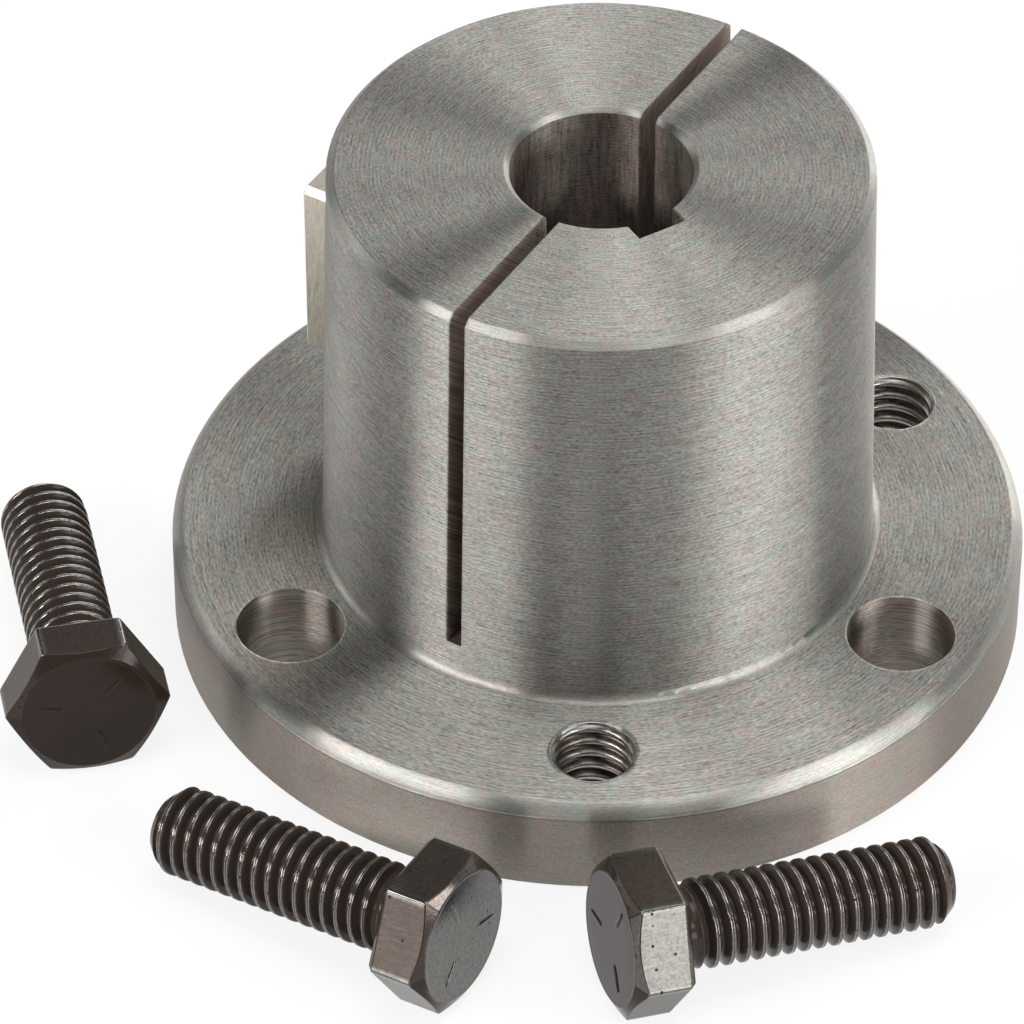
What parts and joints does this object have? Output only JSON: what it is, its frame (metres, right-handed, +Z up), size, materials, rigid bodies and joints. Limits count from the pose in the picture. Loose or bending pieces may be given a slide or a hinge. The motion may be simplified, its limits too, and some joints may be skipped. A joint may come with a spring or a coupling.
{
  "type": "quick disconnect bushing",
  "caption": "Flanged bushing with a split taper barrel, keyed bore, barrel key, clearance and jacking holes, and its loose cap screws.",
  "frame": {"origin": "centre of the bore at the flange's underside, which is also the centre of the bolt circle there", "axes": "+Z up along the bore, from the flange to the barrel's small end; +X and +Y square to it, with the first clearance hole on +Y"},
  "size_m": [0.0922, 0.0955, 0.0492],
  "materials": {
    "machined_steel": "turned steel with fine concentric tool marks",
    "key_steel": "drawn key steel, slightly tan",
    "black_oxide": "oiled black oxide, glossy"
  },
  "bodies": {
    "root": {"bushing_body": "machined_steel", "barrel_key": "key_steel", "cap_screws": "black_oxide"}
  },
  "joints": []
}
